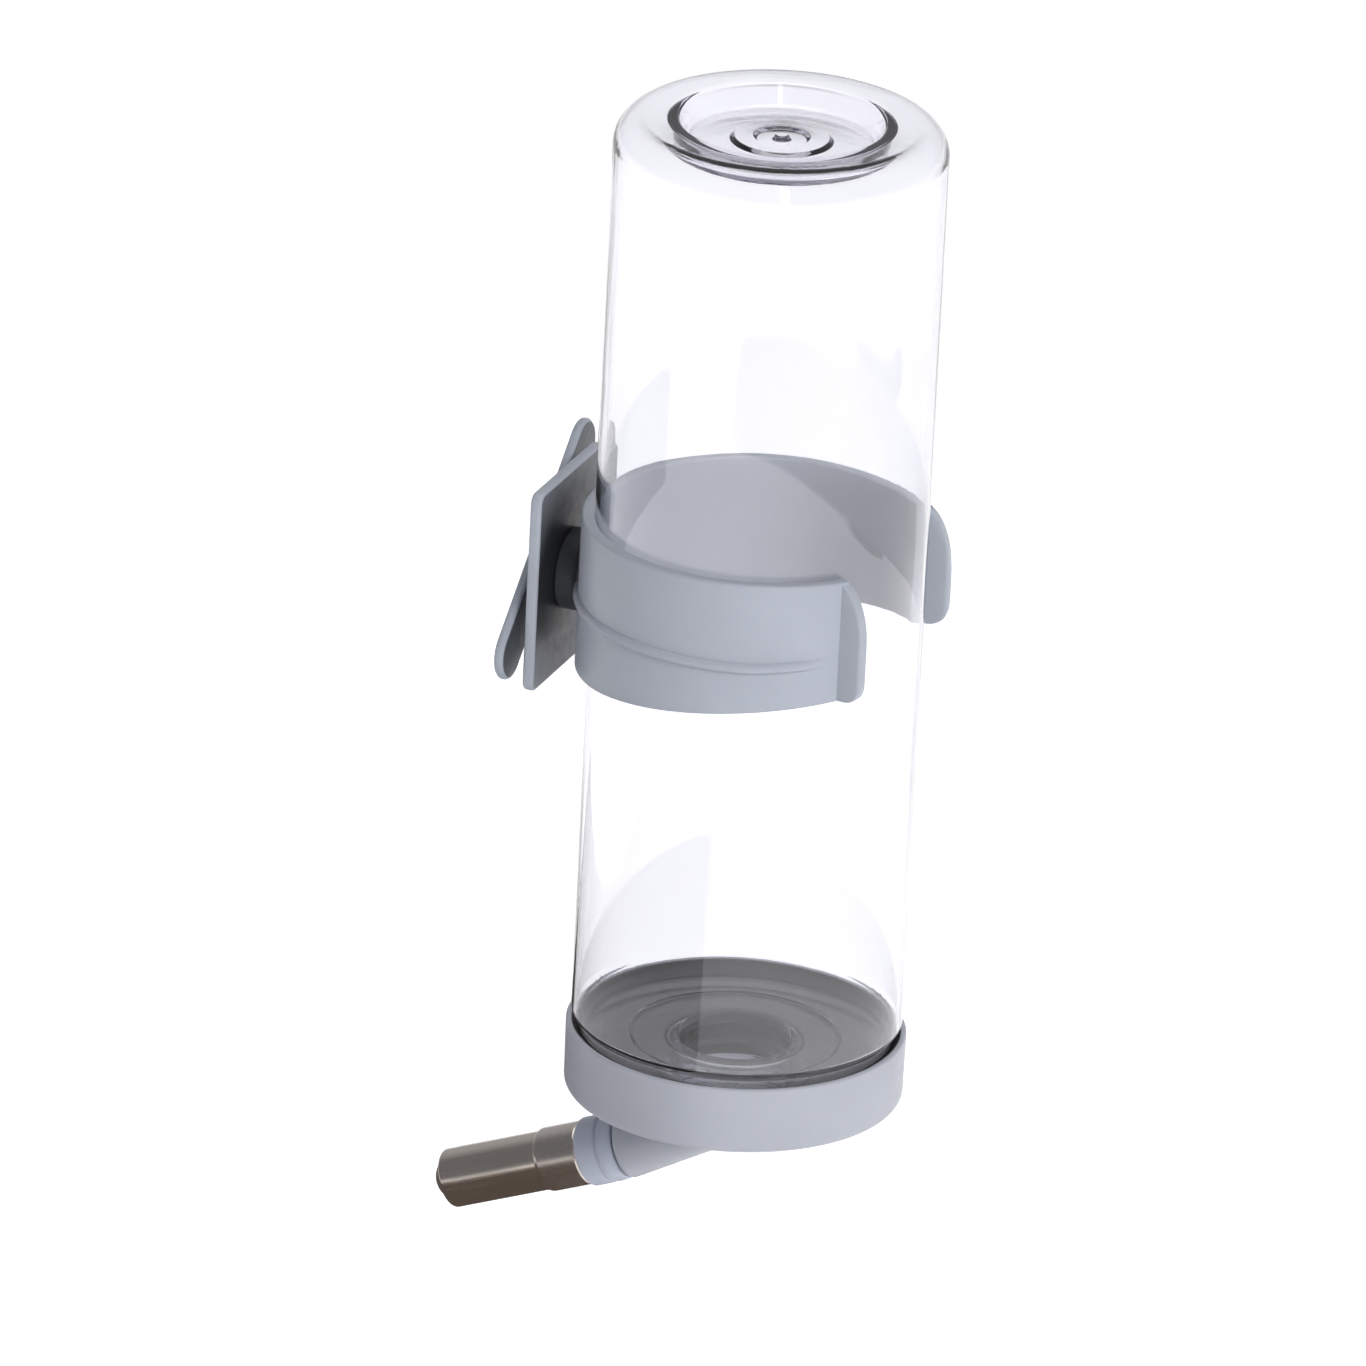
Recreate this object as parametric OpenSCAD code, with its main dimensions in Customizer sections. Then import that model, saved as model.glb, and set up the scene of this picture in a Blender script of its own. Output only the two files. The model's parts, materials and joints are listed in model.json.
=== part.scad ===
// Hanging water bottle for a rabbit cage: a clear bottle hung upside down in a snap ring, a screw cap with a
// slanted ball spout, and a twist lock that clamps the ring's plate to the cage wires.
// +Z is up along the bottle, the cage is on the -X side. The origin is on the lock's axis, on the face of the
// plate that bears on the wires.

/* [Bottle] */
// Outside diameter of the bottle
bottle_d = 66; // [62:0.5:70]
// Height from the underside of the cap to the top of the upturned bottle
bottle_h = 206; // [180:1:230]
// Wall thickness of the blow-moulded bottle
bottle_wall = 0.8; // [0.6:0.1:1.2]
// Radius of the rounded shoulder at the top
shoulder_r = 11; // [8:0.5:13]
// Outside diameter of the neck, without its thread
neck_d = 25; // [23:0.5:26]
// Lead of the neck's thread
thread_lead = 3.2; // [3:0.1:3.6]

/* [Cap] */
// Height of the cap's skirt
skirt_h = 14; // [13:0.5:18]
// Wall thickness of the cap
cap_wall = 1.4; // [1.2:0.1:1.8]
// How far the neck socket reaches below the cap
socket_drop = 7.5; // [7:0.1:9]

/* [Spout] */
// How steeply the spout points down, in degrees
spout_drop = 22; // [18:1:28]
// Outside diameter of the steel tube
tube_d = 12; // [11.6:0.1:12.4]
// Diameter of each valve ball
ball_d = 10; // [9.6:0.1:10.2]

/* [Clip] */
// Thickness of the snap ring
ring_t = 2.5; // [2:0.1:3]
// Height of the snap ring beside the plate
ring_h = 33; // [28:1:36]
// Half of the ring's open angle, in degrees
ring_gap = 40; // [36:1:46]
// Width of the plate
plate_w = 34; // [30:1:40]
// Height of the plate
plate_h = 42; // [38:1:46]
// Thickness of the plate
plate_t = 2.4; // [2:0.1:3]

/* [Lock] */
// Length of the twist-lock bar
bar_l = 58; // [50:1:62]
// Width of the twist-lock bar
bar_w = 11; // [9:1:14]
// Room between the plate and the bar for the cage wires
wire_room = 2.8; // [2.5:0.1:4]

/* [Hidden] */
$fn = 96;
grey = "#a3a9b3";

// Places along the bottle's own axis, with the underside of the cap at z = 0.
bottle_r = bottle_d / 2;
neck_r = neck_d / 2;
neck_bore_r = neck_r - 1.6;
mouth_z = -4.5;
root_z = 8.4;             // where the neck meets the lower shoulder
step_z = skirt_h + 1.3;   // the body is a little slimmer below this, inside the cap
lower_r = bottle_r - 1;
lower_round = 3.6;
lower_z = 14.6;
lower_step_r = 20.6;      // the lower shoulder drops a little inside this radius
punt_r = 20.6;            // the recess in the upturned base
punt_floor_r = 18.4;
punt_depth = 4;
punt_z = bottle_h - punt_depth;

skirt_r = bottle_r + 0.9;
skirt_in_r = skirt_r - cap_wall;
floor_t = 2;
collar_r = neck_r + 3.5;
collar_top = 4.2;
rim_round = 0.4;
cap_edge_r = 1.8;
socket_r = neck_r + 1.4;
socket_z = mouth_z - 1.2;  // the gasket lies between this floor and the mouth
drain_r = 1.6;

// The thread's ridges, on the neck and in the cap.
ridge_h = 1.1;
ridge_w = 1.2;
ridge_turns = 1.25;
thread_z = -2.7;
thread_steps = 36;         // pieces to a turn
lug_step = 45;             // the cap's thread is broken into lugs, in degrees
lug_span = 24;

// Places along the spout's axis, measured from the point below the middle of the neck.
spout_z = -8.2;
tube_r = tube_d / 2;
tube_in_r = tube_r - 0.7;
boss_end = 23.7;
boss_r = 6.9;
boss_root_r = 3.4;
plug_r = 4.3;
plug_in = 13.6;
gland_r = plug_r - 1.4;
o_ring_s = 15.8;
o_ring_r = 0.72;
barrel_in = 24;
barrel_out = 32.2;
barrel_r = 7;
nose_end = 40;
slot_s = 19.6;
slot_w = 3;
slot_turn = 60;            // how far the bayonet turns, in degrees
lug_w = 2.4;
lug_r = 6;
lug_room = 21;             // degrees of slot on each side of the lug's middle
lug_at = 40;               // where the locked lug rests, in degrees from the top of the boss
ferrule_out = 41.7;
ferrule_r = tube_r + 0.5;
tube_out = 63.8;
tube_roll = 1.5;           // radius of the rolled end
ball_r = ball_d / 2;
ball_s = 61.65;
ball_gap = 0.05;

// The clip, from the wires outwards.
ring_in_r = bottle_r + 0.06;
ring_r = ring_in_r + ring_t;
bottle_x = 42.5;           // from the wires to the bottle's axis
cap_z = -104;              // the underside of the cap
ring_top = 122 + cap_z;
ring_end_h = 25;           // the ring is lower at the ends of its arms
rib_z = ring_top - 18;
rib_r = 1;
rib_end = 9;               // degrees from the arm's end to the end of the rib
flare_l = 6.6;
flare_out = 10;            // how far the flared ends turn outwards, in degrees
flare_drop = 15;           // height over which a flared end rounds off
flare_foot_r = 4;
hub_r = 8.2;
hub_in_r = 6.6;
hub_depth = 4.2;
collar_out_r = 6.55;
collar_in_r = 5.2;
collar_h = 3.8;
web_t = 3.2;               // plate and web together, where the spindle runs
plate_corner_r = 2.2;
spindle_r = 4;
spindle_end = 5.6;
groove_r = 3;
retainer_x = 3.35;
retainer_t = 0.8;
retainer_r = 5;
bar_t = 2;
bar_corner_r = 5;
bar_shift = 3;             // the bar reaches further on its upper side
bar_turn = 48;             // the locked bar stands across the wires, this far from upright
grip_l = 18;
grip_h = 1.2;
grip_t = 4;

// Points on an arc, from angle a0 to a1.
function arc(cx, cy, r, a0, a1, n = 12) =
    [for (i = [0 : n]) let (a = a0 + (a1 - a0) * i / n) [cx + r * cos(a), cy + r * sin(a)]];

module at_bottle() { translate([bottle_x, 0, cap_z]) children(); }

// Local +Z runs out along the spout.
module at_spout() { at_bottle() translate([0, 0, spout_z]) rotate([0, -90 - spout_drop, 0]) children(); }

// Local +Z runs along +X, with local +X downwards.
module along_x() { rotate([0, 90, 0]) children(); }

// A ring of rectangular section, from z0 to z1.
module tube(r_out, r_in, z0, z1) {
    difference() {
        translate([0, 0, z0]) cylinder(r = r_out, h = z1 - z0);
        translate([0, 0, z0 - 1]) cylinder(r = r_in, h = z1 - z0 + 2);
    }
}

// A right-handed screw ridge standing out of a neck, narrower at its crest, its middle starting at height z0.
module screw_ridge(r_root, r_crest, w_root, w_crest, z0, turns) {
    n = ceil(turns * thread_steps);
    section = [[r_root, -w_root / 2], [r_crest, -w_crest / 2], [r_crest, w_crest / 2], [r_root, w_root / 2]];
    points = [for (i = [0 : n], p = section)
        let (a = 360 * i / thread_steps, z = z0 + thread_lead * i / thread_steps)
        [p[0] * cos(a), p[0] * sin(a), z + p[1]]];
    sides = [for (i = [0 : n - 1], k = [0 : 3], h = [0, 1])
        let (a = 4 * i + k, b = 4 * i + (k + 1) % 4) h == 0 ? [a, a + 4, b + 4] : [a, b + 4, b]];
    ends = [[0, 1, 2], [0, 2, 3], [4 * n + 2, 4 * n + 1, 4 * n], [4 * n + 3, 4 * n + 2, 4 * n]];
    polyhedron(points, concat(sides, ends));
}

// The same thread inside a socket, as a row of short lugs that climb with the lead.
module thread_lugs(r_root, r_crest, w_root, w_crest, z0, turns) {
    for (a = [0 : lug_step : 360 * turns])
        rotate([0, 0, a - lug_span / 2]) translate([0, 0, z0 + thread_lead * a / 360])
            rotate_extrude(angle = lug_span) polygon([[r_root, -w_root / 2], [r_root, w_root / 2],
                                                      [r_crest, w_crest / 2], [r_crest, -w_crest / 2]]);
}

// Outside of the bottle, from its base down to the mouth.
function bottle_outside() = concat(
    [[0, punt_z + 0.8], [1.6, punt_z + 0.8], [2.2, punt_z]],
    [[6, punt_z], [6.4, punt_z + 0.6], [10, punt_z + 0.6], [10.4, punt_z]],
    [[punt_floor_r - 0.5, punt_z], [punt_floor_r, punt_z + 0.4]],
    [[punt_r - 0.4, bottle_h - 0.5], [punt_r, bottle_h]],
    arc(bottle_r - shoulder_r, bottle_h - shoulder_r, shoulder_r, 90, 0, 18),
    [[bottle_r, step_z + 1.2], [lower_r, step_z]],
    arc(lower_r - lower_round, lower_z, lower_round, 0, -90, 8),
    [[lower_step_r + 0.8, lower_z - lower_round], [lower_step_r, root_z + 2], [neck_r + 3, root_z + 2]],
    arc(neck_r + 2, root_z, 2, 90, 180, 4),
    [[neck_r, mouth_z + rim_round], [neck_r - rim_round, mouth_z]]);

// Inside of the bottle, from its mouth up to the base.
function bottle_inside() = let (w = bottle_wall) concat(
    [[neck_bore_r, mouth_z], [neck_bore_r, root_z + 0.8]],
    [[neck_r + 2, root_z + 2.9], [lower_step_r - 0.3, root_z + 2.9]],
    [[lower_step_r + 0.5, lower_z - lower_round + w]],
    arc(lower_r - lower_round, lower_z, lower_round - w, -90, 0, 8),
    [[lower_r - w, step_z + 0.3], [bottle_r - w, step_z + 1.6]],
    arc(bottle_r - shoulder_r, bottle_h - shoulder_r, shoulder_r - w, 0, 90, 18),
    [[punt_r + 0.4, bottle_h - w], [punt_floor_r + 0.8, punt_z + 0.1]],
    [[punt_floor_r, punt_z - w], [0, punt_z - w]]);

module bottle() {
    color("#eef0f6", 0.3) at_bottle() union() {
        rotate_extrude() polygon(concat(bottle_outside(), bottle_inside()));
        screw_ridge(neck_r - 0.5, neck_r + ridge_h, ridge_w + 0.3, ridge_w - 0.5, thread_z, ridge_turns);
    }
}

module neck_gasket() {
    color("#e8e8e4") at_bottle() tube(neck_r + 1.1, neck_r - 3, socket_z, mouth_z);
}

// The skirt, floor and collar, turned round the bottle's axis, before the neck's socket is bored.
module cap_cup() {
    rotate_extrude() polygon(concat(
        [[0, collar_top], [collar_r, collar_top], [collar_r, floor_t]],
        arc(skirt_in_r - 1.5, floor_t + 1.5, 1.5, -90, 0, 6),
        [[skirt_in_r, skirt_h - rim_round], [skirt_in_r + rim_round, skirt_h]],
        [[skirt_r - rim_round, skirt_h], [skirt_r, skirt_h - rim_round]],
        arc(skirt_r - cap_edge_r, cap_edge_r, cap_edge_r, 0, -90, 6),
        [[collar_r, 0], [collar_r, -socket_drop + 0.8], [collar_r - 0.8, -socket_drop], [0, -socket_drop]]));
}

// The rib that ties the spout's boss to the underside of the cap.
module boss_web() {
    translate([0, 1, 0]) rotate([90, 0, 0]) linear_extrude(2)
        polygon([[-collar_r + 1, 1], [-collar_r + 1, -12], [-boss_end + 2, -12], [-boss_end - 1, 1]]);
}

module cap() {
    color(grey) union() {
        difference() {
            union() {
                at_bottle() cap_cup();
                at_spout() translate([0, 0, -2]) cylinder(r1 = boss_root_r, r2 = boss_r, h = boss_end + 2);
                at_bottle() boss_web();
            }
            at_bottle() translate([0, 0, socket_z]) cylinder(r = socket_r, h = collar_top - socket_z + 1);
            at_bottle() translate([0, 0, spout_z - 0.5]) cylinder(r = drain_r, h = 5);
            at_spout() cylinder(r = drain_r, h = plug_in);
            at_spout() translate([0, 0, plug_in - 0.5]) cylinder(r = plug_r + 0.08, h = 20);
            at_spout() bayonet_slot();
        }
        at_bottle() thread_lugs(socket_r + 0.4, neck_r + 0.35, ridge_w + 0.3, ridge_w - 0.5,
                                thread_z + thread_lead / 2, ridge_turns);
    }
}

// An L-shaped slot through the boss: the lug enters at its end and turns under its edge.
module bayonet_slot() {
    open_at = lug_at - slot_turn;
    rotate([0, 0, open_at - lug_room]) rotate_extrude(angle = slot_turn + 2 * lug_room)
        translate([plug_r - 0.4, slot_s - slot_w / 2]) square([boss_r - plug_r + 1.4, slot_w]);
    rotate([0, 0, open_at]) translate([0, -slot_w / 2, slot_s - slot_w / 2])
        cube([boss_r + 2, slot_w, boss_end]);
}

module spout_holder() {
    color("#b4bac6") at_spout() difference() {
        union() {
            rotate_extrude() polygon([
                [0, plug_in], [plug_r - 0.5, plug_in], [plug_r, plug_in + 0.5], [plug_r, o_ring_s - 0.9],
                [gland_r, o_ring_s - 0.9], [gland_r, o_ring_s + 0.9], [plug_r, o_ring_s + 0.9],
                [plug_r, barrel_in], [barrel_r - 0.4, barrel_in], [barrel_r, barrel_in + 0.4],
                [barrel_r, barrel_in + 2.4], [barrel_r - 0.4, barrel_in + 2.8],
                [barrel_r - 0.4, barrel_in + 3.4], [barrel_r, barrel_in + 3.8],
                [barrel_r, barrel_out - 0.4], [barrel_r - 0.4, barrel_out],
                [tube_in_r - 0.05, barrel_out], [tube_in_r - 0.05, nose_end - 0.6],
                [tube_in_r - 0.65, nose_end], [0, nose_end]]);
            rotate([0, 0, lug_at]) translate([0, -lug_w / 2, slot_s - lug_w / 2]) cube([lug_r, lug_w, lug_w]);
        }
        translate([0, 0, plug_in - 1]) cylinder(r = drain_r, h = 40);
    }
}

module spout_o_ring() {
    color("#2c2c2e") at_spout() translate([0, 0, o_ring_s]) rotate_extrude()
        translate([plug_r - o_ring_r + 0.06, 0]) circle(r = o_ring_r, $fn = 32);
}

module spout_ferrule() {
    color("#b9b4ae") at_spout() rotate_extrude() polygon([
        [tube_r + 0.02, barrel_out + 0.1], [ferrule_r - 0.2, barrel_out + 0.1], [ferrule_r, barrel_out + 0.3],
        [ferrule_r, ferrule_out - 0.4], [ferrule_r - 0.3, ferrule_out], [tube_r + 0.02, ferrule_out]]);
}

// A plain tube whose end is rolled in far enough to keep the ball.
module spout_tube() {
    color("#b9b4ae") at_spout() rotate_extrude() polygon(concat(
        [[tube_in_r, barrel_out + 0.1], [tube_r, barrel_out + 0.1]],
        arc(tube_r - tube_roll, tube_out - tube_roll, tube_roll, 0, 62, 6),
        [[ball_r - 0.25, tube_out - 0.1], [ball_r - 0.22, tube_out - 0.55]],
        [[tube_in_r - 0.1, tube_out - tube_roll], [tube_in_r, tube_out - tube_roll - 0.7]]));
}

module valve_ball(behind = 0) {
    color("#cfd0d2") at_spout() translate([0, 0, ball_s - behind * (ball_d + ball_gap)]) sphere(r = ball_r);
}

// One flared lip at the end of an arm, drawn for the arm on the +Y side.
module flare() {
    outline = concat(
        [[-1, 0]],
        [for (a = [90 : -10 : 0]) [flare_l * cos(a), flare_drop * (sin(a) - 1)]],
        arc(flare_l - flare_foot_r, flare_foot_r - ring_end_h, flare_foot_r, 0, -90, 5),
        [[-1, -ring_end_h]]);
    rotate([0, 0, ring_gap]) translate([ring_in_r, 0, 0]) rotate([0, 0, flare_out - ring_gap])
        translate([0, ring_t, ring_top - cap_z]) rotate([90, 0, 0])
            linear_extrude(ring_t - 0.1) polygon(outline);
}

// The ring's band, its lower edge rising from the plate to the ends of the arms.
module band() {
    top = ring_top - cap_z;
    open = 360 - 2 * ring_gap;
    rise = atan((ring_h - ring_end_h) / (ring_r + ring_r * cos(ring_gap)));
    room = 4 * ring_r;
    difference() {
        rotate([0, 0, ring_gap]) rotate_extrude(angle = open) polygon([
            [ring_in_r, top - ring_h], [ring_r, top - ring_h], [ring_r, top - 0.5], [ring_r - 0.5, top],
            [ring_in_r + 0.5, top], [ring_in_r, top - 0.5]]);
        translate([-ring_r, 0, top - ring_h]) rotate([0, -rise, 0])
            translate([-ring_r, -room / 2, -ring_h]) cube([room, room, ring_h]);
    }
    rotate([0, 0, ring_gap + rib_end]) rotate_extrude(angle = open - 2 * rib_end)
        translate([ring_r - 0.2, rib_z - cap_z]) circle(r = rib_r, $fn = 24);
}

module clip_ring() {
    color(grey) difference() {
        union() {
            at_bottle() band();
            at_bottle() for (side = [0, 1]) mirror([0, side, 0]) flare();
            along_x() translate([0, 0, plate_t]) cylinder(r = hub_r, h = bottle_x - ring_r - plate_t + 1.5);
        }
        at_bottle() translate([0, 0, ring_top - cap_z - ring_h - 5]) cylinder(r = ring_in_r, h = ring_h + 10);
        along_x() translate([0, 0, plate_t - 1]) cylinder(r = hub_in_r, h = hub_depth + 1);
    }
}

// A flat plate with rounded corners in the YZ plane, from x0 to x1.
module plate(w, h, r, x0, x1) {
    for (a = [[w, h - 2 * r], [w - 2 * r, h]])
        translate([x0, -a[0] / 2, -a[1] / 2]) cube([x1 - x0, a[0], a[1]]);
    for (y = [-1, 1], z = [-1, 1])
        translate([x0, y * (w / 2 - r), z * (h / 2 - r)]) along_x() cylinder(r = r, h = x1 - x0);
}

module holder_plate() {
    color(grey) difference() {
        union() {
            plate(plate_w, plate_h, plate_corner_r, 0, plate_t);
            along_x() cylinder(r = collar_out_r, h = plate_t + collar_h);
        }
        along_x() translate([0, 0, -1]) cylinder(r = spindle_r + 0.06, h = 10);
        along_x() translate([0, 0, web_t]) cylinder(r = collar_in_r, h = 10);
    }
}

// The bar, the low rib on its back that a finger turns it by, and the spindle it turns on.
module lock_bar() {
    bar_x = -wire_room - bar_t;
    color("#8f959f") rotate([-bar_turn, 0, 0]) difference() {
        union() {
            translate([0, 0, bar_shift]) plate(bar_w, bar_l, bar_corner_r, bar_x, -wire_room);
            translate([bar_x - grip_h, -grip_t / 2, -grip_l / 2]) cube([grip_h + 0.5, grip_t, grip_l]);
            along_x() translate([0, 0, bar_x + 0.5]) cylinder(r = spindle_r, h = spindle_end - bar_x - 0.5);
        }
        along_x() tube(spindle_r + 1, groove_r, retainer_x - 0.05, retainer_x + retainer_t + 0.05);
    }
}

module lock_retainer() {
    color("#b9b4ae") along_x() tube(retainer_r, groove_r + 0.05, retainer_x, retainer_x + retainer_t);
}

clip_ring();
holder_plate();
lock_bar();
lock_retainer();
bottle();
neck_gasket();
cap();
spout_holder();
spout_o_ring();
spout_ferrule();
spout_tube();
valve_ball();
valve_ball(1);  // valve_ball_rear
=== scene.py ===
"""Looks of a hanging rabbit water bottle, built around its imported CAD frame.

Shapes are drawn in millimetres in three local frames, then placed in the row frame in metres:
  bottle: origin under the middle of the cap, +Z up the bottle
  spout:  origin below the neck, +Z out along the spout, +X up
  lock:   origin on the wires' side of the plate, +Z away from the cage
"""

import json
import math

import bmesh
import bpy
from mathutils import Matrix, Vector, noise

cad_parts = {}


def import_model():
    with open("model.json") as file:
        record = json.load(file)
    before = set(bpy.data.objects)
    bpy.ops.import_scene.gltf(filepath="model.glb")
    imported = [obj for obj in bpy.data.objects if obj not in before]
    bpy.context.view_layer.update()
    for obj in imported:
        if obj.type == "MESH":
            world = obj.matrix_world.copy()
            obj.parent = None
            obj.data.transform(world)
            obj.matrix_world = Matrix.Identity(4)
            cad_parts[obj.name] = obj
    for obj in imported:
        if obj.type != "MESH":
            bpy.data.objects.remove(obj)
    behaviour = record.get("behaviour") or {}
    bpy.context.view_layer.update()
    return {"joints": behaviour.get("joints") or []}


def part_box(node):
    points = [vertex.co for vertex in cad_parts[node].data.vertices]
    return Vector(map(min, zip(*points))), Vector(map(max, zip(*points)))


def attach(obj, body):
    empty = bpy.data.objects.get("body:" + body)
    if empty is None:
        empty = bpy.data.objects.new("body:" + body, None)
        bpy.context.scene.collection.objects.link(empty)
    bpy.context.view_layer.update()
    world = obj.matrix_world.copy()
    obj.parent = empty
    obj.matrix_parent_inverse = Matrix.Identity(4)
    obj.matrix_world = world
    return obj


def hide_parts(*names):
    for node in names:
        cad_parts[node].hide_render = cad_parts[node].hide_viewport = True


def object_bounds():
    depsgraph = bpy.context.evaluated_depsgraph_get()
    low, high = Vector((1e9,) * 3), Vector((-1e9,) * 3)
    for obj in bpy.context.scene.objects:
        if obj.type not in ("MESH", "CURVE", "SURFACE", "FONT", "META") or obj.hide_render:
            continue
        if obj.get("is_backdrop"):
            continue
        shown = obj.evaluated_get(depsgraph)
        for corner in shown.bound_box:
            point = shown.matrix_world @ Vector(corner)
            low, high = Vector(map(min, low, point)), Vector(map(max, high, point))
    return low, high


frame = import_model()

MM = 0.001
joints = {j["name"]: j for j in frame["joints"]}

# ---------------------------------------------------------------- sizes, in millimetres


def size_mm(node):
    """Lowest and highest corner of a CAD node, in millimetres."""
    low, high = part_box(node)
    return Vector(low) / MM, Vector(high) / MM


bottle_low, bottle_high = size_mm("bottle")
cap_low, cap_high = size_mm("cap")
plate_low, plate_high = size_mm("holder_plate")
ring_low, ring_high = size_mm("clip_ring")

SKIRT_H = 14.0
AXIS_X = (bottle_low.x + bottle_high.x) / 2
CAP_Z = cap_high.z - SKIRT_H
BOTTLE_R = (bottle_high.x - bottle_low.x) / 2
BOTTLE_H = bottle_high.z - CAP_Z
MOUTH_Z = bottle_low.z - CAP_Z
SKIRT_R = (cap_high.y - cap_low.y) / 2

WALL = 0.8
WAIST = 1.0  # how far the lower end draws in to enter the cap
NECK_R = 12.5
NECK_BORE_R = 10.9
ROOT_Z = 8.4  # where the neck's threaded stretch ends
LOWER_STEP_R = 20.6
LOWER_Z = ROOT_Z + 2.6  # underside of the bottle's lower end
STEP_Z = SKIRT_H + 1.3
SHOULDER_R = 11.0
PUNT_R = 20.6  # the dish in the bottle's base
PUNT_DEPTH = 4.0
THREAD_Z = -2.7
LEAD = 3.2
THREAD_TURNS = 1.25
RIDGE_HALF = 0.85  # half the width of a thread's ridge
NECK_RIDGE = 1.1  # how far the ridges stand out
SOCKET_RIDGE = 1.05
SOCKET_R = 13.9
SOCKET_Z = MOUTH_Z - 1.2
GASKET_IN_R = 9.5
GASKET_R = 13.6
SKIRT_IN_R = SKIRT_R - 1.4
FLOOR_T = 2.0
DRAIN_R = 1.6
COLLAR_R = 16.0  # the socket's outside
COLLAR_TOP = 4.2

RING_IN = BOTTLE_R + 0.06
RING_T = 2.5
RING_R = RING_IN + RING_T
RING_TOP = ring_high.z - CAP_Z
RING_H = ring_high.z - ring_low.z
RING_END_H = 25.0
RING_GAP = 40.0  # degrees from the middle of the mouth to each arm's end
RIB_DROP = 17.5
RIB_R = 0.95
RIB_START = 7.0  # degrees from the flare to the rib's start
RIB_FADE = 8.0  # degrees over which it rises
FLARE_L = 6.6
FLARE_OUT = 10.0  # degrees
BAND_EDGE_R = 0.55
EAR_THIN = 0.95  # how far each side of an ear is inset at its very end
EAR_TOP_ROUND = 15.0
EAR_FOOT_ROUND = 4.0

PLATE_T = 2.4
PLATE_CORNER_R = 2.2
WIRE_ROOM = 2.8
BAR_T = 2.0
BAR_L = 58.0
BAR_W = 11.0
BAR_CORNER_R = 5.2
BAR_TURN = 48.0  # degrees from upright, at rest
BAR_SHIFT = 3.0  # how far its middle is from the spindle, towards its upper end
HUB_R = 8.2
HUB_IN_R = 6.6
COLLAR_END = 6.2  # of the plate's collar, inside the hub
SPINDLE_R = 4.0
GROOVE_R = 3.0
WASHER_R = 5.0
GRIP_HALF = 9.0
GRIP_H = 1.2

# ---------------------------------------------------------------- local frames

spout_axis = Vector(joints["spout_turn"]["axis"]).normalized()
spout_up = Vector((0, 1, 0)).cross(spout_axis)


def frame_matrix(origin_mm, x, y, z):
    """A matrix from a local frame with these axes to the row frame."""
    m = Matrix((x, y, z)).transposed().to_4x4()
    m.translation = Vector(origin_mm) * MM
    return m


X, Y, Z = Vector((1, 0, 0)), Vector((0, 1, 0)), Vector((0, 0, 1))
BOTTLE = frame_matrix((AXIS_X, 0, CAP_Z), X, Y, Z)
SPOUT = frame_matrix(Vector(joints["spout_turn"]["pos_m"]) / MM, spout_up, Y, spout_axis)
LOCK = frame_matrix((0, 0, 0), -Z, Y, X)
BAR = LOCK @ Matrix.Rotation(math.radians(-BAR_TURN), 4, "Z")

# ---------------------------------------------------------------- outlines


def rounded(corners, steps=6, closed=True):
    """The outline through corners (x, y, radius), each rounded to its radius where there is room."""
    out = []
    n = len(corners)
    for i, corner in enumerate(corners):
        p, radius = Vector(corner[:2]), corner[2] if len(corner) > 2 else 0
        if radius == 0 or (not closed and i in (0, n - 1)):
            out.append(tuple(p))
            continue
        a = Vector(corners[i - 1][:2]) - p
        b = Vector(corners[(i + 1) % n][:2]) - p
        half = a.angle(b) / 2
        if half > math.radians(89):
            out.append(tuple(p))
            continue
        reach = min(radius / math.tan(half), 0.495 * a.length, 0.495 * b.length)
        radius = reach * math.tan(half)
        a.normalize()
        b.normalize()
        centre = p + (a + b).normalized() * radius / math.sin(half)
        start, end = p + a * reach - centre, p + b * reach - centre
        turn = start.angle_signed(end)
        for k in range(steps + 1):
            arm = start.copy()
            arm.rotate(Matrix.Rotation(-turn * k / steps, 2))
            out.append(tuple(centre + arm))
    return out


def spaced(outline, gap, closed=False):
    """The same outline with points added, so that none are further apart than gap."""
    out = []
    pairs = list(zip(outline, outline[1:] + outline[:1] if closed else outline[1:]))
    for a, b in pairs:
        n = max(1, math.ceil(math.dist(a, b) / gap))
        out += [(a[0] + (b[0] - a[0]) * k / n, a[1] + (b[1] - a[1]) * k / n) for k in range(n)]
    return out if closed else out + [outline[-1]]


# ---------------------------------------------------------------- meshes


def solid(name, points, faces, place, sharp=40):
    """A smooth-shaded mesh from millimetre points in a local frame."""
    mesh = bpy.data.meshes.new(name)
    mesh.from_pydata([Vector(p) * MM for p in points], [], faces)
    mesh.validate()
    obj = bpy.data.objects.new(name, mesh)
    bpy.context.collection.objects.link(obj)
    obj.matrix_world = place
    tidy_mesh(obj, sharp)
    return obj


def make(name, points, faces, place, body, material, node, sharp=40):
    """A solid with its material, riding on a CAD body in place of a CAD node."""
    obj = solid(name, points, faces, place, sharp)
    obj.data.materials.append(material)
    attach(obj, body)
    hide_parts(node)
    return obj


def tidy_mesh(obj, sharp=40):
    """Points the faces outwards and shades the mesh smooth, with its real corners kept sharp."""
    b = bmesh.new()
    b.from_mesh(obj.data)
    bmesh.ops.remove_doubles(b, verts=b.verts, dist=1e-7)
    bmesh.ops.recalc_face_normals(b, faces=b.faces)
    b.to_mesh(obj.data)
    b.free()
    for polygon in obj.data.polygons:
        polygon.use_smooth = True
    obj.data.set_sharp_from_angle(angle=math.radians(sharp))


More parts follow.
